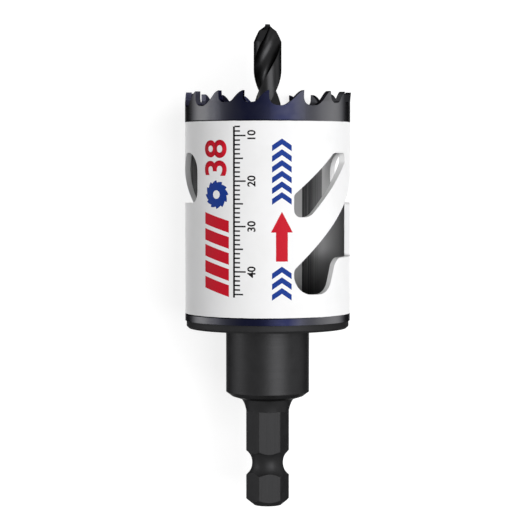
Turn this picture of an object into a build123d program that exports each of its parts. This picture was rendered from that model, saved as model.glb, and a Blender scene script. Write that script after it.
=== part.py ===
from build123d import *
import math
import os

os.makedirs("parts", exist_ok=True)

# Cup wall: a strip with punched slots and ground teeth, rolled into a ring
cutting_diameter = 38.1
tooth_set = 0.2
set_pattern = (0, 1, -1)
wall_thickness = 1.3
wall_height = 51.9

# Teeth: tips lie on one circle, the pitch alternates between a wide and a narrow gap
wide_gap = 24.0
tooth_gaps = "WWNNWNNNNNNNNWWWNN"
first_tip_angle = 1.0
wide_gullet_depth = 3.35
wide_gullet_reach = 2.85
narrow_gullet_depth = 2.55
narrow_gullet_reach = 2.5
rake_height = 1.15
crown_length = 1.75
crown_drop = 1.2
crown_lean = 0.3
bend_height = 2.3

# Slots: corners on the unrolled outer face, along the wall and up from its lower edge
slot_sets = 2
slot_start = 5.92
slot_top = 38.15
upper_slot_base = 23.9
upper_slot_step = 28.85
upper_slot_slope = 0.84
upper_slot_crown = 4.95
upper_slot_lip = 2.15
upper_slot_heel = 9.75
upper_slot_rounds = (1.6, 3.4, 1.2, 1.2, 1.5, 0.9)
lower_slot_base = 6.75
lower_slot_step = 12.3
lower_slot_slope = 0.914
lower_slot_crown = 6.5
first_riser = 15.0
first_riser_lean = 2.8
second_tread = 14.7
second_riser = 30.1
third_tread = 26.85
lower_slot_rounds = (4.4, 3.9, 3.0, 0.8, 0.8, 2.7, 4.2, 1.5, 1.7)

# Back plate: a flange under the wall and a plug inside it
flange_inset = 0.3
flange_thickness = 1.77
flange_chamfer = 0.5
plug_height = 2.6
plug_chamfer = 0.3

# Arbor: hex shank with a ball groove, collar and a nose through the plate
hex_across_flats = 8.65
hex_across_corners = 9.85
hex_turn = 5.4
hex_length = 21.8
end_chamfer = 1.45
end_diameter = 6.3
groove_centre = 9.75
groove_length = 5.65
groove_diameter = 7.1
groove_entry = 0.75
neck_diameter = 12.1
neck_foot_lean = 0.2
neck_top_lean = 1.0
collar_start = 24.5
collar_face_rise = 0.7
collar_face_diameter = 16.4
collar_diameter = 19.05
collar_bevel = 1.0
collar_top = 40.88
nose_diameter = 15.8
nose_rise = 0.8
nose_chamfer = 0.5

# Pilot drill
drill_diameter = 6.35
drill_seat = 28.1
drill_length = 82.0
flute_length = 40.0
flute_lead = 34.0
flute_radius = 2.9
web_thickness = 1.2
flute_front_height = 6.6
runout_length = 6.0
point_land = 1.05
point_spur_diameter = 1.3
point_spur_length = 0.45
point_shoulder_diameter = 4.2
point_drop = 1.45
point_length = 4.0
screw_flat_depth = 0.5
screw_flat_length = 8.0

# Set screw that locks the drill, from the side away from the front
screw_diameter = 4.8
screw_height = 34.0
screw_sink = 0.6
screw_socket_flats = 2.4
screw_socket_depth = 2.2
screw_chamfer = 0.35

# Running clearances, on the radius
drill_clearance = 0.05
plate_clearance = 0.05
nose_clearance = 0.05
screw_clearance = 0.05

wall_radius = cutting_diameter / 2 - tooth_set
bore_radius = wall_radius - wall_thickness
wall_base = collar_top + flange_thickness
tip_height = wall_base + wall_height
drill_radius = drill_diameter / 2
overall_length = drill_seat + drill_length
wrap_step = 0.9
cut_reach = 0.7
from_base = (Align.CENTER, Align.CENTER, Align.MIN)


def along_wall(angle):
    return math.radians(angle) * wall_radius


def on_wall(arc, height, radius):
    turn = arc / wall_radius
    return Vector(radius * math.sin(turn), -radius * math.cos(turn), height)


def wrapped_cut(flat_edges):
    faces = []
    for edge in flat_edges:
        steps = max(3, math.ceil(edge.length / wrap_step))
        flat = [edge @ (step / steps) for step in range(steps + 1)]
        inner = Edge.make_spline([on_wall(p.X, p.Y, bore_radius - cut_reach) for p in flat])
        outer = Edge.make_spline([on_wall(p.X, p.Y, wall_radius + cut_reach) for p in flat])
        faces.append(Face.make_surface_from_curves(inner, outer))
    return Shell(faces)


def largest_piece(solid, cut):
    return max(solid.split(cut, keep=Keep.ALL), key=lambda piece: piece.volume)


def tooth_pitches():
    wides = tooth_gaps.count("W")
    narrow_gap = (360.0 - wides * wide_gap) / (len(tooth_gaps) - wides)
    return [wide_gap if gap == "W" else narrow_gap for gap in tooth_gaps]


def gullet(start_arc, pitch, is_wide):
    depth = wide_gullet_depth if is_wide else narrow_gullet_depth
    reach = wide_gullet_reach if is_wide else narrow_gullet_reach
    end_arc = start_arc + along_wall(pitch)
    tip = (start_arc, tip_height)
    throat = (start_arc, tip_height - rake_height)
    bottom = (start_arc + reach, tip_height - depth)
    flank = (end_arc - crown_length, tip_height - crown_drop)
    next_tip = (end_arc, tip_height)
    leads = [(0, -1), (1, 0), (1, 1), (1, crown_lean)]
    return [Line(tip, throat), Spline(throat, bottom, flank, next_tip, tangents=leads)]


def tooth_edge():
    flat_edges = []
    angle = first_tip_angle
    for gap, pitch in zip(tooth_gaps, tooth_pitches()):
        flat_edges += gullet(along_wall(angle), pitch, gap == "W")
        angle += pitch
    return flat_edges


def tooth_blank(from_angle, to_angle, lean):
    bend = tip_height - bend_height
    top = tip_height + cut_reach
    shift = lean * tooth_set * (top - bend) / bend_height
    outline = [
        (bore_radius, bend),
        (wall_radius, bend),
        (wall_radius + shift, top),
        (bore_radius + shift, top),
    ]
    section = Plane.XZ * make_face(Polyline(*outline, close=True))
    blank = revolve(section, Axis.Z, revolution_arc=to_angle - from_angle)
    return Rot(0, 0, from_angle - 90) * blank


def set_teeth():
    blanks = []
    pitches = tooth_pitches()
    angle = first_tip_angle
    for index, pitch in enumerate(pitches):
        gap_before = tooth_gaps[index - 1]
        reach_before = wide_gullet_reach if gap_before == "W" else narrow_gullet_reach
        reach_after = wide_gullet_reach if tooth_gaps[index] == "W" else narrow_gullet_reach
        root_before = angle - pitches[index - 1] + math.degrees(reach_before / wall_radius)
        root_after = angle + math.degrees(reach_after / wall_radius)
        blanks.append(tooth_blank(root_before, root_after, set_pattern[index % len(set_pattern)]))
        angle += pitch
    return blanks


def slot_edges(corners, rounds, offset):
    points = [(arc + offset, wall_base + height) for arc, height in corners]
    return FilletPolyline(*points, radius=rounds, close=True).edges()


def slant_reach(step, slope):
    return slot_start + (slot_top - step) / slope


def upper_slot(offset):
    slant_end = slant_reach(upper_slot_step, upper_slot_slope)
    far_side = slant_end + upper_slot_crown
    corners = [
        (slot_start, upper_slot_base),
        (upper_slot_heel, upper_slot_base),
        (far_side, slot_top - upper_slot_lip),
        (far_side, slot_top),
        (slant_end, slot_top),
        (slot_start, upper_slot_step),
    ]
    return slot_edges(corners, upper_slot_rounds, offset)


def lower_slot(offset):
    slant_end = slant_reach(lower_slot_step, lower_slot_slope)
    far_side = slant_end + lower_slot_crown
    corners = [
        (slot_start, lower_slot_base),
        (first_riser, lower_slot_base),
        (first_riser + first_riser_lean, second_tread),
        (second_riser, second_tread),
        (second_riser, third_tread),
        (far_side, third_tread),
        (far_side, slot_top),
        (slant_end, slot_top),
        (slot_start, lower_slot_step),
    ]
    return slot_edges(corners, lower_slot_rounds, offset)


def make_saw_band():
    blank_top = tip_height - bend_height
    tube_height = blank_top - wall_base
    tube = extrude(Circle(wall_radius) - Circle(bore_radius), tube_height)
    band = Pos(0, 0, wall_base) * tube
    band = band.fuse(*set_teeth())
    band = largest_piece(band, wrapped_cut(tooth_edge()))
    for index in range(slot_sets):
        offset = along_wall(360.0 * index / slot_sets)
        band = largest_piece(band, wrapped_cut(upper_slot(offset)))
        band = largest_piece(band, wrapped_cut(lower_slot(offset)))
    return band


def make_back_plate():
    flange_radius = wall_radius - flange_inset
    plug_radius = bore_radius - plate_clearance
    hole_radius = nose_diameter / 2 + nose_clearance
    outline = [
        (hole_radius, collar_top),
        (flange_radius, collar_top),
        (flange_radius, wall_base),
        (plug_radius, wall_base),
        (plug_radius, wall_base + plug_height),
        (hole_radius, wall_base + plug_height),
    ]
    plate = revolve(Plane.XZ * make_face(Polyline(*outline, close=True)), Axis.Z)
    rims = plate.edges().filter_by(GeomType.CIRCLE)
    lower_rim = rims.group_by(Axis.Z)[0].sort_by(SortBy.RADIUS)[-1]
    plate = chamfer(lower_rim, flange_chamfer)
    rims = plate.edges().filter_by(GeomType.CIRCLE)
    upper_rim = rims.group_by(Axis.Z)[-1].sort_by(SortBy.RADIUS)[-1]
    return chamfer(upper_rim, plug_chamfer)


def arbor_outline():
    corner_radius = hex_across_corners / 2
    bore = drill_radius + drill_clearance
    groove_low = groove_centre - groove_length / 2
    groove_high = groove_centre + groove_length / 2
    collar_radius = collar_diameter / 2
    face_edge = collar_start + collar_face_rise
    nose_top = collar_top + flange_thickness + plug_height + nose_rise
    nose_radius = nose_diameter / 2
    shank = Polyline(
        (0, drill_seat),
        (0, 0),
        (end_diameter / 2, 0),
        (corner_radius, end_chamfer),
        (corner_radius, groove_low),
    )
    groove = Spline(
        (corner_radius, groove_low),
        (groove_diameter / 2, groove_centre),
        (corner_radius, groove_high),
        tangents=[(-1, groove_entry), (1, groove_entry)],
    )
    neck_start = (corner_radius, hex_length)
    neck_leads = [(neck_foot_lean, 1), (1, neck_top_lean)]
    neck = Spline(neck_start, (neck_diameter / 2, collar_start), tangents=neck_leads)
    body = Polyline(
        (neck_diameter / 2, collar_start),
        (collar_face_diameter / 2, face_edge),
        (collar_radius, face_edge + collar_bevel),
        (collar_radius, collar_top),
        (nose_radius, collar_top),
        (nose_radius, nose_top - nose_chamfer),
        (nose_radius - nose_chamfer, nose_top),
        (bore, nose_top),
        (bore, drill_seat),
        (0, drill_seat),
    )
    return shank + groove + Line((corner_radius, groove_high), neck_start) + neck + body


def set_screw_place(radius):
    return Pos(0, radius, screw_height) * Rot(-90, 0, 0)


def make_arbor():
    arbor = revolve(Plane.XZ * make_face(arbor_outline()), Axis.Z)
    hexagon = RegularPolygon(hex_across_flats / 2, 6, major_radius=False, rotation=hex_turn)
    trim = extrude(Circle(hex_across_corners) - hexagon, hex_length)
    tapped_hole = Cylinder(screw_diameter / 2 + screw_clearance, collar_diameter, align=from_base)
    return arbor - trim - set_screw_place(0) * tapped_hole


def flute_section():
    flute_offset = web_thickness / 2 + flute_radius
    section = Circle(drill_radius)
    for side in (1, -1):
        section -= Pos(side * flute_offset, 0) * Circle(flute_radius)
    return section


def make_pilot_drill():
    flute_start = overall_length - flute_length
    front_at = overall_length - flute_front_height
    start_angle = 360.0 * (flute_start - front_at) / flute_lead
    section = Pos(0, 0, flute_start) * Rot(0, 0, start_angle - 90) * flute_section()
    turn = 360.0 * flute_length / flute_lead
    foot = (0, 0, flute_start)
    fluted = Solid.extrude_linear_with_rotation(section.face(), foot, (0, 0, flute_length), turn)
    point = [
        (0, flute_start),
        (drill_radius, flute_start),
        (drill_radius, overall_length - point_length),
        (point_shoulder_diameter / 2, overall_length - point_drop),
        (point_spur_diameter / 2, overall_length - point_spur_length),
        (point_land / 2, overall_length),
        (0, overall_length),
    ]
    envelope = revolve(Plane.XZ * make_face(Polyline(*point, close=True)), Axis.Z)
    runout = [
        (0, drill_seat),
        (drill_radius, drill_seat),
        (drill_radius, flute_start),
        (web_thickness / 2, flute_start + runout_length),
        (0, flute_start + runout_length),
    ]
    shank = revolve(Plane.XZ * make_face(Polyline(*runout, close=True)), Axis.Z)
    flat_face = drill_radius - screw_flat_depth
    flat_cut = Box(drill_diameter, drill_radius, screw_flat_length)
    flat_place = Pos(0, flat_face + drill_radius / 2, screw_height)
    return (fluted & envelope) + shank - flat_place * flat_cut


def make_set_screw():
    tip = drill_radius - screw_flat_depth
    length = collar_diameter / 2 - screw_sink - tip
    body = Cylinder(screw_diameter / 2, length, align=from_base)
    body = chamfer(body.edges().filter_by(GeomType.CIRCLE), screw_chamfer)
    socket = extrude(RegularPolygon(screw_socket_flats / 2, 6, major_radius=False), screw_socket_depth)
    screw = body - Pos(0, 0, length - screw_socket_depth) * socket
    return set_screw_place(tip) * screw


def lay_down(piece):
    return Pos(0, -overall_length / 2, wall_radius) * Rot(-90, 0, 0) * piece


def main():
    pieces = {
        "saw_band": make_saw_band(),
        "back_plate": make_back_plate(),
        "arbor": make_arbor(),
        "pilot_drill": make_pilot_drill(),
        "pilot_set_screw": make_set_screw(),
    }
    for name, piece in pieces.items():
        export_step(lay_down(piece), f"parts/{name}.step")


main()
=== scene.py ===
import math

import bmesh
import bpy
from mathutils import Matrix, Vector


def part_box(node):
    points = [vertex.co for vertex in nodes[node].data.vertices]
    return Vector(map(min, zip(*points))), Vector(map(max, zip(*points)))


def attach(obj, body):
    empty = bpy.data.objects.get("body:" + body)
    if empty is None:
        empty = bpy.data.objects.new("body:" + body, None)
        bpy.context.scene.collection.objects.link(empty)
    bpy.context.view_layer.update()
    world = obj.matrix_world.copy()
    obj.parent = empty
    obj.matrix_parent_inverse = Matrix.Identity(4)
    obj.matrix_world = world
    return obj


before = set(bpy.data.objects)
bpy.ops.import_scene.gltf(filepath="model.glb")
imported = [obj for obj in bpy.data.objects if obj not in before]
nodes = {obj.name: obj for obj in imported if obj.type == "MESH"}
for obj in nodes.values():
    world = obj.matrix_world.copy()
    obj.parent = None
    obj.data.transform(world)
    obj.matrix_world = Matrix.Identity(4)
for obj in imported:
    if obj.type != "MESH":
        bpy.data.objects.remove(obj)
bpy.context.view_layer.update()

mm = 0.001

bandLow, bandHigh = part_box("saw_band")
shankLow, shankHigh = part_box("arbor")
axisHeight = (shankLow.z + shankHigh.z) / 2  # the tool lies along Y at this height
wallRadius = axisHeight - bandLow.z
wallFoot = bandLow.y  # lower edge of the cup wall
toothTip = bandHigh.y
print("frame loaded, wall radius", round(wallRadius, 5))


# small helpers for the node trees

def startMaterial(name):
    material = bpy.data.materials.new(name)
    material.use_nodes = True
    tree = material.node_tree
    return material, tree, tree.nodes["Principled BSDF"]


def opaque(colour):
    return colour + (1.0,) if isinstance(colour, tuple) else colour


def setSocket(tree, socket, value):
    if isinstance(value, bpy.types.NodeSocket):
        tree.links.new(value, socket)
    else:
        socket.default_value = value


def addNode(tree, kind, **inputs):
    node = tree.nodes.new("ShaderNode" + kind)
    for name, value in inputs.items():
        setSocket(tree, node.inputs[name], value)
    return node


def calc(tree, operation, *values):
    node = tree.nodes.new("ShaderNodeMath")
    node.operation = operation
    for socket, value in zip(node.inputs, values):
        setSocket(tree, socket, value)
    return node.outputs[0]


def times(tree, first, *others):
    for other in others:
        first = calc(tree, "MULTIPLY", first, other)
    return first


def remainder(tree, share):
    return calc(tree, "SUBTRACT", 1.0, share)


def ramp(tree, value, low, high):
    node = tree.nodes.new("ShaderNodeMapRange")
    node.interpolation_type = "SMOOTHSTEP"
    setSocket(tree, node.inputs["Value"], value)
    setSocket(tree, node.inputs["From Min"], low)
    setSocket(tree, node.inputs["From Max"], high)
    return node.outputs["Result"]


def rampInMm(tree, value, low, high):
    return ramp(tree, value, low * mm, high * mm)


def uneven(tree, noise, middle, swing):
    return calc(tree, "MULTIPLY_ADD", noise, 2 * swing, middle - swing)


def blend(tree, factor, first, second):
    node = tree.nodes.new("ShaderNodeMix")
    node.data_type = "RGBA"
    setSocket(tree, node.inputs["Factor"], factor)
    setSocket(tree, node.inputs["A"], opaque(first))
    setSocket(tree, node.inputs["B"], opaque(second))
    return node.outputs["Result"]


def blendValue(tree, factor, first, second):
    node = tree.nodes.new("ShaderNodeMix")
    setSocket(tree, node.inputs["Factor"], factor)
    setSocket(tree, node.inputs["A"], first)
    setSocket(tree, node.inputs["B"], second)
    return node.outputs["Result"]


def place(tree):
    coords = tree.nodes.new("ShaderNodeTexCoord").outputs["Object"]
    split = addNode(tree, "SeparateXYZ", Vector=coords)
    return coords, split.outputs["X"], split.outputs["Y"], split.outputs["Z"]


def radiusFromAxis(tree, x, z):
    up = calc(tree, "SUBTRACT", z, axisHeight)
    return calc(tree, "SQRT", calc(tree, "ADD", times(tree, x, x), times(tree, up, up)))


def grain(tree, coords, around, along, detail=3.0, roughness=0.6):
    # noise with its own size round the tool and along it, in features a millimetre
    stretch = addNode(tree, "Mapping", Vector=coords, Scale=(around / mm, along / mm, around / mm))
    noise = addNode(tree, "TexNoise", Vector=stretch.outputs[0], Scale=1.0)
    noise.inputs["Detail"].default_value = detail
    noise.inputs["Roughness"].default_value = roughness
    return noise.outputs["Fac"]


def softEdges(tree, radius, samples):
    node = addNode(tree, "Bevel", Radius=radius * mm)
    node.samples = samples
    return node.outputs[0]


def bump(tree, height, depth, under=None):
    node = addNode(tree, "Bump", Height=height, Distance=depth * mm, Strength=1.0)
    if under is not None:
        tree.links.new(under, node.inputs["Normal"])
    return node.outputs["Normal"]


# the cup wall: white enamel between two bare edges, all lengths in mm
# facing runs from -1 at the left side to 1 at the right, side from 0 in the middle to 1 at both
# grains give features a millimetre round the tool and along it, then detail and roughness

cup = {
    "wallThickness": 1.3,
    "boreFade": (0.06, 0.02),  # just outside the bore, where the inside's finish ends
    "enamelFrom": 1.7,  # above the wall's lower edge
    "enamelTo": 45.15,
    "enamelFade": 0.05,
    "enamelThickness": 0.04,
    "enamelColour": (0.86, 0.86, 0.865),
    "enamelShade": (0.835, 0.835, 0.835),
    "shadeLevels": (0.4, 0.75),
    "enamelRoughness": 0.38,
    "enamelSwing": 0.06,
    "enamelGloss": 0.16,
    "blotches": (0.15, 0.15),
    "wobble": (0.5, 0.5),  # the enamel's edge isn't quite straight
    "peel": (1.1, 1.1, 1.0),  # orange peel in the enamel
    "peelHeight": 0.8,
    "edgeShadowColour": (0.001, 0.001, 0.0015),  # painted shadow: thin dark line along both edges of the enamel
    "edgeShadowWidth": 0.24,
    "edgeShadowFade": (1.2, 0.8),  # in widths of the line
    "edgeShadowFacing": (0.75, 0.1),
    "steelColour": (0.044, 0.044, 0.0465),
    "rightHighlightColour": (0.093, 0.093, 0.097),  # painted highlight: lighter steel right of the middle
    "rightHighlightFrom": (0.0, 0.35),
    "rightHighlightTo": (0.95, 0.8),
    "sideHighlightColour": (0.13, 0.13, 0.135),  # painted highlight: lighter steel near both sides
    "sideHighlightFrom": (0.66, 0.84),
    "sideHighlightTo": (0.97, 0.83),
    "navyReflectionColour": (0.0065, 0.0075, 0.021),  # painted reflection: dark navy on the bare steel in the middle, in blotches
    "navyReflectionSides": (0.85, 0.2),
    "navyReflectionPatches": (0.5, 0.72),  # gain and lift of the blotches
    "flankShadeColour": (0.013, 0.013, 0.015),  # painted shade on the ground faces of the teeth and on the inside
    # painted shade with a navy painted reflection, on the flanks towards the left
    "flankNavyShade": (0.012, 0.0125, 0.03),
    "flankFacing": (0.1, 0.6),
    "flankTurn": (0.7, 0.45),
    "flankShare": 0.75,
    "edgeTint": (0.1, 0.1, 0.11),
    "steelRoughness": 0.36,
    "steelSwing": 0.08,
    "steelSpecular": 0.5,
    "rolling": (0.12, 9.0),  # lines left by the rolling mill
    "grainDepth": 0.005,
    "insideTo": (44.5, 42.5),  # height at which the dull inside gives way to the teeth, with their painted navy reflection
    "insideColour": (0.14, 0.14, 0.143),
    "insidePaintedLight": (0.3, 0.3, 0.305),  # painted light, where the inside turns up towards the right
    "insidePaintedLightSides": (0.45, 0.72),
    "insideRoughness": 0.5,
    "insideDullness": 0.65,
    "streakColour": (0.05, 0.05, 0.052),
    "streaks": (2.4, 0.02, 5.0, 0.75),
    "streakLevels": (0.62, 0.38),
    "streakTo": (13.0, 9.0),  # right of the axis
    "deepShadeColour": (0.01, 0.01, 0.0105),  # painted shade, darker towards the back plate
    "deepShadeFrom": (18.0, 3.0),
    "deepShadeShare": 0.6,
    "stripFade": 0.08,  # ground strips inside the lower half of the wall
    "stripDepth": 1.0,
    "stripPatches": (0.3, 0.75),
    "seamColour": (0.78, 0.78, 0.785),
    "seamFrom": (0.0, 2.0),
    "seamEnd": 8.2,
    "groundColour": (0.95, 0.95, 0.95),
    "groundFrom": 12.7,
    "groundHeight": (26.5, 27.0),
    "bevel": 0.1,
    "bevelSamples": 4,
}


# bare steel with painted light round the cup: lighter on the right, painted highlights near both sides
# and a dark navy painted reflection in the middle, in blotches
def temperedSteel(tree, facing, side, blotches):
    # bare steel, with a heat tint that comes and goes round the cup
    # painted highlight: lighter steel right of the middle
    right = times(tree, ramp(tree, facing, *cup["rightHighlightFrom"]), ramp(tree, facing, *cup["rightHighlightTo"]))
    steel = blend(tree, right, cup["steelColour"], cup["rightHighlightColour"])
    # painted highlight near both sides of the cup
    sideHighlight = times(tree, ramp(tree, side, *cup["sideHighlightFrom"]), ramp(tree, side, *cup["sideHighlightTo"]))
    steel = blend(tree, sideHighlight, steel, cup["sideHighlightColour"])
    # painted reflection: dark navy in the middle of the cup, in blotches
    patches = calc(tree, "MULTIPLY_ADD", blotches, *cup["navyReflectionPatches"])
    navyReflection = times(tree, ramp(tree, side, *cup["navyReflectionSides"]), patches)
    return blend(tree, navyReflection, steel, cup["navyReflectionColour"])


def groundFlanks(tree, steel, x, z, radius, facing, inside):
    # ground tooth flanks face along the wall or along the tool, not away from the axis; they and the
    # inside get painted shade, navy towards the left and dark grey at the right
    shape = tree.nodes.new("ShaderNodeNewGeometry")
    normal = addNode(tree, "SeparateXYZ", Vector=shape.outputs["True Normal"])
    up = calc(tree, "SUBTRACT", z, axisHeight)
    sideways = times(tree, normal.outputs["X"], x)
    outwards = calc(tree, "MULTIPLY_ADD", normal.outputs["Z"], up, sideways)
    turn = calc(tree, "DIVIDE", calc(tree, "ABSOLUTE", outwards), radius)
    flank = calc(tree, "MAXIMUM", inside, ramp(tree, turn, *cup["flankTurn"]))
    # painted shade: navy towards the left, dark grey at the right
    flankShade = blend(tree, ramp(tree, facing, *cup["flankFacing"]), cup["flankNavyShade"], cup["flankShadeColour"])
    return blend(tree, times(tree, flank, cup["flankShare"]), steel, flankShade)


def insideFace(tree, x, z, side, height, streaks):
    # painted light where the inside wall turns up at the sides
    face = blend(tree, ramp(tree, side, *cup["insidePaintedLightSides"]), cup["insideColour"], cup["insidePaintedLight"])
    lines = times(tree, ramp(tree, streaks, *cup["streakLevels"]), rampInMm(tree, x, *cup["streakTo"]))
    face = blend(tree, lines, face, cup["streakColour"])
    # painted shade deep in the cup, towards the back plate
    deepShade = times(tree, rampInMm(tree, height, *cup["deepShadeFrom"]), cup["deepShadeShare"])
    face = blend(tree, deepShade, face, cup["deepShadeColour"])

    # a seam right of the axis, and a wider strip at the far right
    fade = cup["stripFade"]
    seamEnd = rampInMm(tree, x, cup["seamEnd"], cup["seamEnd"] - fade)
    seam = times(tree, seamEnd, rampInMm(tree, x, *cup["seamFrom"]))
    groundFrom = rampInMm(tree, x, cup["groundFrom"], cup["groundFrom"] + fade)
    ground = times(tree, groundFrom, rampInMm(tree, height, *cup["groundHeight"]))
    lowerHalf = ramp(tree, z, axisHeight, axisHeight - cup["stripDepth"] * mm)
    patches = calc(tree, "MULTIPLY_ADD", streaks, *cup["stripPatches"])
    strips = times(tree, calc(tree, "ADD", seam, ground), lowerHalf, patches)
    return blend(tree, strips, face, blend(tree, ground, cup["seamColour"], cup["groundColour"]))


def primerLines(tree, steel, facing, height, outside):
    # a painted shadow shows as a dark line on both sides of the enamel, and fades towards the right
    far, near = (share * cup["edgeShadowWidth"] for share in cup["edgeShadowFade"])
    above = rampInMm(tree, height, cup["enamelTo"] + far, cup["enamelTo"] + near)
    below = rampInMm(tree, height, cup["enamelFrom"] - far, cup["enamelFrom"] - near)
    lines = times(tree, above, below, ramp(tree, facing, *cup["edgeShadowFacing"]), outside)
    return blend(tree, lines, steel, cup["edgeShadowColour"])


def enamelledSteel():
    material, tree, shader = startMaterial("enamelled_saw_steel")
    coords, x, y, z = place(tree)
    facing = calc(tree, "DIVIDE", x, wallRadius)
    side = calc(tree, "ABSOLUTE", facing)
    radius = radiusFromAxis(tree, x, z)
    bore = wallRadius / mm - cup["wallThickness"]
    inside = rampInMm(tree, radius, *(bore + step for step in cup["boreFade"]))
    outside = remainder(tree, inside)

    blotches = grain(tree, coords, *cup["blotches"])
    rolled = grain(tree, coords, *cup["rolling"])
    streaks = grain(tree, coords, *cup["streaks"])
    wobble = uneven(tree, grain(tree, coords, *cup["wobble"]), 0.0, cup["enamelFade"] * mm)
    height = calc(tree, "ADD", calc(tree, "SUBTRACT", y, wallFoot), wobble)
    innerSteel = times(tree, inside, rampInMm(tree, height, *cup["insideTo"]))
    low, high, fade = cup["enamelFrom"], cup["enamelTo"], cup["enamelFade"]
    above = rampInMm(tree, height, low - fade, low + fade)
    below = rampInMm(tree, height, high + fade, high - fade)
    paint = times(tree, above, below, outside)

    steel = temperedSteel(tree, facing, side, blotches)
    steel = groundFlanks(tree, steel, x, z, radius, facing, inside)
    steel = blend(tree, innerSteel, steel, insideFace(tree, x, z, side, height, streaks))
    steel = primerLines(tree, steel, facing, height, outside)
    shade = ramp(tree, blotches, *cup["shadeLevels"])
    white = blend(tree, shade, cup["enamelColour"], cup["enamelShade"])
    tree.links.new(blend(tree, paint, steel, white), shader.inputs["Base Color"])

    rough = uneven(tree, rolled, cup["steelRoughness"], cup["steelSwing"])
    rough = blendValue(tree, innerSteel, rough, cup["insideRoughness"])
    enamelRough = uneven(tree, blotches, cup["enamelRoughness"], cup["enamelSwing"])
    tree.links.new(blendValue(tree, paint, rough, enamelRough), shader.inputs["Roughness"])
    metal = remainder(tree, times(tree, innerSteel, cup["insideDullness"]))
    tree.links.new(times(tree, metal, remainder(tree, paint)), shader.inputs["Metallic"])
    gloss = blendValue(tree, paint, cup["steelSpecular"], cup["enamelGloss"])
    tree.links.new(gloss, shader.inputs["Specular IOR Level"])
    shader.inputs["Specular Tint"].default_value = opaque(cup["edgeTint"])

    soft = softEdges(tree, cup["bevel"], cup["bevelSamples"])
    coat = bump(tree, paint, cup["enamelThickness"], soft)
    peel = times(tree, grain(tree, coords, *cup["peel"]), cup["peelHeight"])
    relief = blendValue(tree, paint, blendValue(tree, inside, rolled, streaks), peel)
    tree.links.new(bump(tree, relief, cup["grainDepth"], coat), shader.inputs["Normal"])
    return material


# arbor, back plate and set screw: black oxide over turned steel, depths and lengths in mm

blackOxide = {
    "colour": (0.018, 0.018, 0.0185),
    "mottleColour": (0.028, 0.028, 0.029),
    "worn": (0.12, 0.115, 0.11),
    "wornShare": 0.5,
    "edgeTurn": (0.985, 0.9),  # how far an edge turns away before it wears
    "speckLevels": (0.45, 0.62),
    "speckDepth": 0.004,
    "roughness": 0.46,
    "mottleSwing": 0.08,
    "markSwing": 0.06,
    "edgeTint": (0.38, 0.38, 0.38),
    "turning": (3.0, 3.0, 4.0),  # tool marks
    "drawing": (4.0, 0.12, 4.0),  # marks along the drawn bar
    "markDepth": 0.025,
    "mottle": (0.35, 0.35, 5.0),
    "speck": (6.0, 6.0, 2.0),
    "plateDuller": 0.16,  # more roughness on the back plate
    "hexLength": 21.9,  # the part of the shank that is drawn bar, with its marks along it
    "hexFade": 0.2,
    "hexDuller": 0.07,
    "bevel": 0.15,
    "bevelSamples": 6,
}


def wornEdges(tree, soft, speck):
    turn = addNode(tree, "VectorMath")
    turn.operation = "DOT_PRODUCT"
    tree.links.new(soft, turn.inputs[0])
    tree.links.new(tree.nodes.new("ShaderNodeNewGeometry").outputs["Normal"], turn.inputs[1])
    edge = ramp(tree, turn.outputs["Value"], *blackOxide["edgeTurn"])
    return times(tree, edge, ramp(tree, speck, *blackOxide["speckLevels"]), blackOxide["wornShare"])


def turnedOxide(name, hexEnd=None, duller=0.0):
    material, tree, shader = startMaterial(name)
    coords, x, y, z = place(tree)
    # tool marks run round the axis, on the turned sides and on the faced ends alike
    turned = addNode(tree, "CombineXYZ", X=radiusFromAxis(tree, x, z), Y=y)
    marks = grain(tree, turned.outputs[0], *blackOxide["turning"])
    mottle = grain(tree, coords, *blackOxide["mottle"])
    speck = grain(tree, coords, *blackOxide["speck"])
    rough = uneven(tree, mottle, blackOxide["roughness"] + duller, blackOxide["mottleSwing"])
    if hexEnd is not None:
        bar = ramp(tree, y, hexEnd, hexEnd - blackOxide["hexFade"] * mm)
        marks = blendValue(tree, bar, marks, grain(tree, coords, *blackOxide["drawing"]))
        rough = calc(tree, "MULTIPLY_ADD", bar, blackOxide["hexDuller"], rough)
    rough = calc(tree, "ADD", rough, uneven(tree, marks, 0.0, blackOxide["markSwing"]))
    tree.links.new(rough, shader.inputs["Roughness"])

    soft = softEdges(tree, blackOxide["bevel"], blackOxide["bevelSamples"])
    dark = blend(tree, mottle, blackOxide["colour"], blackOxide["mottleColour"])
    dark = blend(tree, wornEdges(tree, soft, speck), dark, blackOxide["worn"])
    tree.links.new(dark, shader.inputs["Base Color"])
    shader.inputs["Metallic"].default_value = 1.0
    shader.inputs["Specular Tint"].default_value = opaque(blackOxide["edgeTint"])
    ridges = bump(tree, marks, blackOxide["markDepth"], soft)
    tree.links.new(bump(tree, speck, blackOxide["speckDepth"], ridges), shader.inputs["Normal"])
    return material


# pilot drill: black high speed steel, ground along its flutes

drill = {
    "colour": (0.016, 0.016, 0.0165),
    "mottleColour": (0.026, 0.026, 0.027),
    "edgeTint": (0.2, 0.2, 0.2),
    "roughness": 0.34,
    "swing": 0.08,
    "mottle": (0.5, 0.5, 4.0),
    "grinding": (5.0, 5.0, 2.0),
    "grindingDepth": 0.004,  # mm
    "bevel": 0.08,
    "bevelSamples": 4,
}


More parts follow.
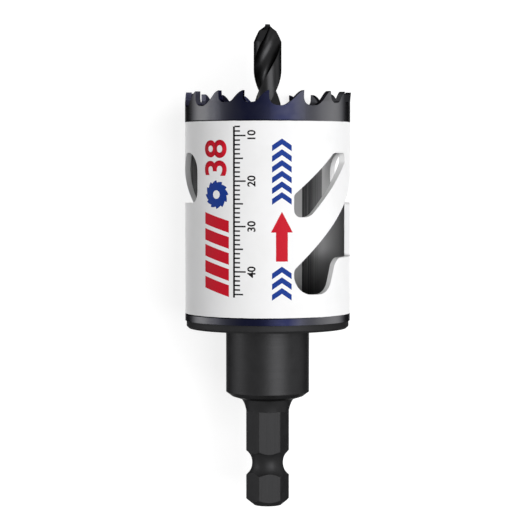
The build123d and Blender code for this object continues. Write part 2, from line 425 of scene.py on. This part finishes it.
def drillSteel():
    material, tree, shader = startMaterial("black_drill_steel")
    coords = place(tree)[0]
    mottle = grain(tree, coords, *drill["mottle"])
    grinding = grain(tree, coords, *drill["grinding"])
    colour = blend(tree, mottle, drill["colour"], drill["mottleColour"])
    tree.links.new(colour, shader.inputs["Base Color"])
    rough = uneven(tree, mottle, drill["roughness"], drill["swing"])
    tree.links.new(rough, shader.inputs["Roughness"])
    shader.inputs["Metallic"].default_value = 1.0
    shader.inputs["Specular Tint"].default_value = opaque(drill["edgeTint"])
    soft = softEdges(tree, drill["bevel"], drill["bevelSamples"])
    tree.links.new(bump(tree, grinding, drill["grindingDepth"], soft), shader.inputs["Normal"])
    return material


def dress(nodeName, material):
    nodes[nodeName].data.materials.clear()
    nodes[nodeName].data.materials.append(material)


dress("saw_band", enamelledSteel())
dress("back_plate", turnedOxide("black_oxide_plate", duller=blackOxide["plateDuller"]))
dress("arbor", turnedOxide("black_oxide_arbor", hexEnd=shankLow.y + blackOxide["hexLength"] * mm))
dress("pilot_set_screw", turnedOxide("black_oxide_screw"))
dress("pilot_drill", drillSteel())
print("materials on the five solids")


# print on the enamel: plain shapes and depth numbers, in mm along the wall and up from its lower edge

printing = {
    "thickness": 0.014,
    "lift": 0.001,  # off the enamel
    "facet": 0.5,  # between the bends that wrap a shape round the wall
    "weld": 0.001,
    "roughness": 0.55,
    "swing": 0.08,
    "gloss": 0.1,
    "thinSpots": (3.0, 3.0),  # where the ink is thin and lighter
    "thinLevels": (0.45, 0.8),
    "lighter": (1.1, 0.004),
    "inkDepth": 0.004,
    "numberWeight": 0.022,  # thickens the numbers, as a share of their size
}


def printInk(name, colour):
    material, tree, shader = startMaterial(name)
    thin = grain(tree, place(tree)[0], *printing["thinSpots"])
    gain, lift = printing["lighter"]
    lighter = tuple(min(1.0, part * gain + lift) for part in colour)
    spots = ramp(tree, thin, *printing["thinLevels"])
    tree.links.new(blend(tree, spots, colour, lighter), shader.inputs["Base Color"])
    rough = uneven(tree, thin, printing["roughness"], printing["swing"])
    tree.links.new(rough, shader.inputs["Roughness"])
    shader.inputs["Specular IOR Level"].default_value = printing["gloss"]
    tree.links.new(bump(tree, thin, printing["inkDepth"]), shader.inputs["Normal"])
    return material


def slantedBar(left, right, low, high, slant=0.0):
    return [(left, low + slant), (right, low), (right, high), (left, high + slant)]


def chevron(left, right, low, thick, rise):
    middle = (left + right) / 2
    return [
        (left, low), (middle, low + rise), (right, low),
        (right, low + thick), (middle, low + thick + rise), (left, low + thick),
    ]


def arrow(middle, low, high, width, stem, head):
    neck = high - head
    return [
        (middle - stem, low), (middle + stem, low), (middle + stem, neck), (middle + width / 2, neck),
        (middle, high), (middle - width / 2, neck), (middle - stem, neck),
    ]


def disc(middle, up, radius, corners, teeth=0, depth=0.0):
    outline = []
    for corner in range(corners):
        turn = 2 * math.pi * corner / corners
        reach = radius - depth * ((corner * teeth / corners) % 1.0)
        outline.append((middle + reach * math.cos(turn), up + reach * math.sin(turn)))
    return outline


def toMesh(curve):
    holder = bpy.data.objects.new(curve.name, curve)
    bpy.context.scene.collection.objects.link(holder)
    bpy.context.view_layer.update()
    mesh = bpy.data.meshes.new_from_object(holder.evaluated_get(bpy.context.evaluated_depsgraph_get()))
    bpy.data.objects.remove(holder)
    bpy.data.curves.remove(curve)
    return mesh


def flatShape(outlines):
    curve = bpy.data.curves.new("print_outline", "CURVE")
    curve.dimensions = "2D"
    curve.fill_mode = "BOTH"
    for outline in outlines:
        spline = curve.splines.new("POLY")
        spline.points.add(len(outline) - 1)
        for point, (along, up) in zip(spline.points, outline):
            point.co = (along, up, 0, 1)
        spline.use_cyclic_u = True
    return toMesh(curve)


def flatNumber(text, along, up, size):
    curve = bpy.data.curves.new("print_number", "FONT")
    curve.body = text
    curve.size = size
    curve.offset = printing["numberWeight"] * size
    curve.align_x = "CENTER"
    curve.align_y = "CENTER"
    mesh = toMesh(curve)
    for vertex in mesh.vertices:
        vertex.co = (along - vertex.co.y, up + vertex.co.x, 0)  # numbers read towards the teeth
    return mesh


def bendRoundWall(shape):
    reach = max(abs(vertex.co.x) for vertex in shape.verts)
    bends = int(reach / printing["facet"]) + 1
    for bend in range(-bends, bends + 1):
        everything = shape.verts[:] + shape.edges[:] + shape.faces[:]
        fold = (bend * printing["facet"], 0, 0)
        bmesh.ops.bisect_plane(shape, geom=everything, plane_co=fold, plane_no=(1, 0, 0))
    inner = wallRadius + printing["lift"] * mm
    for vertex in shape.verts:
        turn = vertex.co.x * mm / wallRadius
        along = wallFoot + vertex.co.y * mm
        vertex.co = (inner * math.sin(turn), along, axisHeight + inner * math.cos(turn))


def faceOutwards(shape):
    bmesh.ops.recalc_face_normals(shape, faces=shape.faces)
    for face in shape.faces:
        middle = face.calc_center_median()
        if face.normal.dot(Vector((middle.x, 0, middle.z - axisHeight))) < 0:
            face.normal_flip()


def wrapPrint(name, flats, colour):
    shape = bmesh.new()
    for flat in flats:
        shape.from_mesh(flat)
        bpy.data.meshes.remove(flat)
    bmesh.ops.remove_doubles(shape, verts=shape.verts, dist=printing["weld"])
    bmesh.ops.triangulate(shape, faces=shape.faces)
    bendRoundWall(shape)
    faceOutwards(shape)
    mesh = bpy.data.meshes.new(name)
    shape.to_mesh(mesh)
    shape.free()
    piece = bpy.data.objects.new(name, mesh)
    bpy.context.scene.collection.objects.link(piece)
    layer = piece.modifiers.new("ink_layer", "SOLIDIFY")
    layer.thickness = printing["thickness"] * mm
    layer.offset = 1.0
    mesh.materials.append(printInk(name + "_ink", colour))
    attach(piece, "root")
    print(name, "wrapped round the wall")


redPrint = {
    "colour": (0.52, 0.004, 0.018),
    "bars": 5,
    "barPitch": 3.55,
    "firstBar": (-15.6, -8.9, 6.3, 8.9),  # left, right, low, high
    "barSlant": 1.9,
    "arrow": (3.15, 14.2, 25.2),  # middle, foot, tip
    "arrowWidth": 4.9,
    "arrowStem": 1.323,  # half its width
    "arrowHead": 4.6,
    "diameter": "38",
    "diameterPlace": (-12.2, 36.9),
    "diameterSize": 8.4,
}


def printRed():
    left, right, low, high = redPrint["firstBar"]
    shifts = [redPrint["barPitch"] * step for step in range(redPrint["bars"])]
    slant = redPrint["barSlant"]
    bars = [slantedBar(left, right, low + shift, high + shift, slant) for shift in shifts]
    width, stem, head = redPrint["arrowWidth"], redPrint["arrowStem"], redPrint["arrowHead"]
    pointer = arrow(*redPrint["arrow"], width, stem, head)
    diameter = flatNumber(redPrint["diameter"], *redPrint["diameterPlace"], redPrint["diameterSize"])
    wrapPrint("print_red", [flatShape(bars + [pointer]), diameter], redPrint["colour"])


bluePrint = {
    "colour": (0.004, 0.034, 0.24),
    "blade": (-12.2, 28.9),
    "bladeRadius": 3.2,
    "bladeTeeth": 12,
    "toothDepth": 0.6,
    "toothCorners": 8,
    "hubRadius": 0.95,
    "hubCorners": 32,
    "chevronSides": (0.95, 5.35),
    "chevronThickness": 1.3,
    "chevronRise": 1.5,
    "chevronPitch": 2.35,
    "chevronRows": ((26.7, 6), (5.6, 3)),  # height of the first, and how many
}


def printBlue():
    radius, teeth, depth = bluePrint["bladeRadius"], bluePrint["bladeTeeth"], bluePrint["toothDepth"]
    blade = disc(*bluePrint["blade"], radius, teeth * bluePrint["toothCorners"], teeth, depth)
    hub = disc(*bluePrint["blade"], bluePrint["hubRadius"], bluePrint["hubCorners"])
    thick, rise = bluePrint["chevronThickness"], bluePrint["chevronRise"]
    chevrons = [
        chevron(*bluePrint["chevronSides"], first + bluePrint["chevronPitch"] * step, thick, rise)
        for first, count in bluePrint["chevronRows"] for step in range(count)
    ]
    wrapPrint("print_blue", [flatShape([blade, hub]), flatShape(chevrons)], bluePrint["colour"])


scalePrint = {
    "colour": (0.006, 0.005, 0.006),
    "depths": (8, 45),  # below the tooth tips
    "spine": (-7.85, -7.4, 6.2, 43.9),  # left, right, low, high
    "overlap": 0.1,
    "tenTick": 2.5,
    "fiveTick": 1.9,
    "shortTick": 1.2,
    "halfTick": 0.17,
    "numberAlong": -3.5,
    "numberSize": 2.5,
}


def printScale():
    spineRight = scalePrint["spine"][1]
    tickLeft = spineRight - scalePrint["overlap"]
    half = scalePrint["halfTick"]
    numberAlong, numberSize = scalePrint["numberAlong"], scalePrint["numberSize"]
    ticks, numbers = [], []
    first, last = scalePrint["depths"]
    for depth in range(first, last + 1):
        up = (toothTip - wallFoot) / mm - depth
        length = scalePrint["shortTick"]
        if depth % 10 == 0:
            length = scalePrint["tenTick"]
            numbers.append(flatNumber(str(depth), numberAlong, up, numberSize))
        elif depth % 5 == 0:
            length = scalePrint["fiveTick"]
        ticks.append(slantedBar(tickLeft, spineRight + length, up - half, up + half))
    flats = [flatShape([slantedBar(*scalePrint["spine"])]), flatShape(ticks)] + numbers
    wrapPrint("print_scale", flats, scalePrint["colour"])


printRed()
printBlue()
printScale()


# floor, light and camera, in metres, degrees and watts

studio = {
    "floorSize": 3.0,
    "floorDrop": 0.0002,
    "floorColour": (0.35, 0.35, 0.35),
    "floorRoughness": 0.9,
    "floorGlow": 0.8,
    "floorMirror": 1.3,
    "ambient": 0.2,
    "aimAlong": 0.01,
    # 0 degrees is straight above the tool, 90 is on +X
    "keyBox": {"angle": 26, "distance": 0.55, "width": 0.38, "length": 0.4, "power": 3.1},
    "leftBox": {"angle": -89, "distance": 0.5, "width": 0.05, "length": 0.32, "power": 0.93},
    "rightBox": {"angle": 89, "distance": 0.5, "width": 0.1, "length": 0.32, "power": 0.28},
}
plainWhite = (1.0, 1.0, 1.0)


def layFloor():
    bpy.ops.mesh.primitive_plane_add(size=studio["floorSize"], location=(0, 0, -studio["floorDrop"]))
    floor = bpy.context.object
    floor.name = "studio_floor"
    material, tree, shader = startMaterial("pale_floor")
    shader.inputs["Base Color"].default_value = opaque(studio["floorColour"])
    shader.inputs["Roughness"].default_value = studio["floorRoughness"]
    shader.inputs["Specular IOR Level"].default_value = 0.0
    shader.inputs["Emission Color"].default_value = opaque(plainWhite)
    rays = tree.nodes.new("ShaderNodeLightPath")
    seen = calc(tree, "MAXIMUM", rays.outputs["Is Camera Ray"], rays.outputs["Is Transmission Ray"])
    mirrored = times(tree, rays.outputs["Is Glossy Ray"], studio["floorMirror"])
    glow = calc(tree, "MULTIPLY_ADD", seen, studio["floorGlow"], mirrored)
    tree.links.new(glow, shader.inputs["Emission Strength"])
    floor.data.materials.append(material)


def softBox(name, angle, distance, width, length, power):
    light = bpy.data.lights.new(name, "AREA")
    light.shape = "RECTANGLE"
    light.size = width
    light.size_y = length
    light.energy = power
    lamp = bpy.data.objects.new(name, light)
    turn = math.radians(angle)
    target = Vector((0, studio["aimAlong"], axisHeight))
    lamp.location = target + Vector((math.sin(turn) * distance, 0, math.cos(turn) * distance))
    lamp.rotation_euler = (lamp.location - target).to_track_quat("Z", "Y").to_euler()
    bpy.context.scene.collection.objects.link(lamp)


def whiteRoom():
    world = bpy.data.worlds.new("white_room")
    bpy.context.scene.world = world
    world.use_nodes = True
    tree = world.node_tree
    background = tree.nodes["Background"]
    rays = tree.nodes.new("ShaderNodeLightPath")
    seen = calc(tree, "MAXIMUM", rays.outputs["Is Camera Ray"], rays.outputs["Is Glossy Ray"])
    seen = calc(tree, "MAXIMUM", seen, rays.outputs["Is Transmission Ray"])
    background.inputs["Color"].default_value = opaque(plainWhite)
    tree.links.new(blendValue(tree, seen, studio["ambient"], 1.0), background.inputs["Strength"])


photoView = {
    "lens": 137.7,
    "sensorWidth": 36.0,
    "nearest": 0.01,
    "sideways": -0.00059,
    "along": 0.02305,
    "aimAlong": 0.00015,
    "distance": 0.464,
}


def placeCamera():
    data = bpy.data.cameras.new("photo_view")
    data.sensor_width = photoView["sensorWidth"]
    data.lens = photoView["lens"]
    data.clip_start = photoView["nearest"]
    camera = bpy.data.objects.new("photo_view", data)
    camera.location = (photoView["sideways"], photoView["along"], axisHeight + photoView["distance"])
    tilt = math.atan2(photoView["along"] - photoView["aimAlong"], photoView["distance"])
    camera.rotation_euler = (-tilt, 0, 0)
    bpy.context.scene.collection.objects.link(camera)
    bpy.context.scene.camera = camera


layFloor()
softBox("key_box", **studio["keyBox"])
softBox("left_box", **studio["leftBox"])
softBox("right_box", **studio["rightBox"])
whiteRoom()
placeCamera()
bpy.context.scene.view_settings.view_transform = "Standard"
print("floor, light and camera")
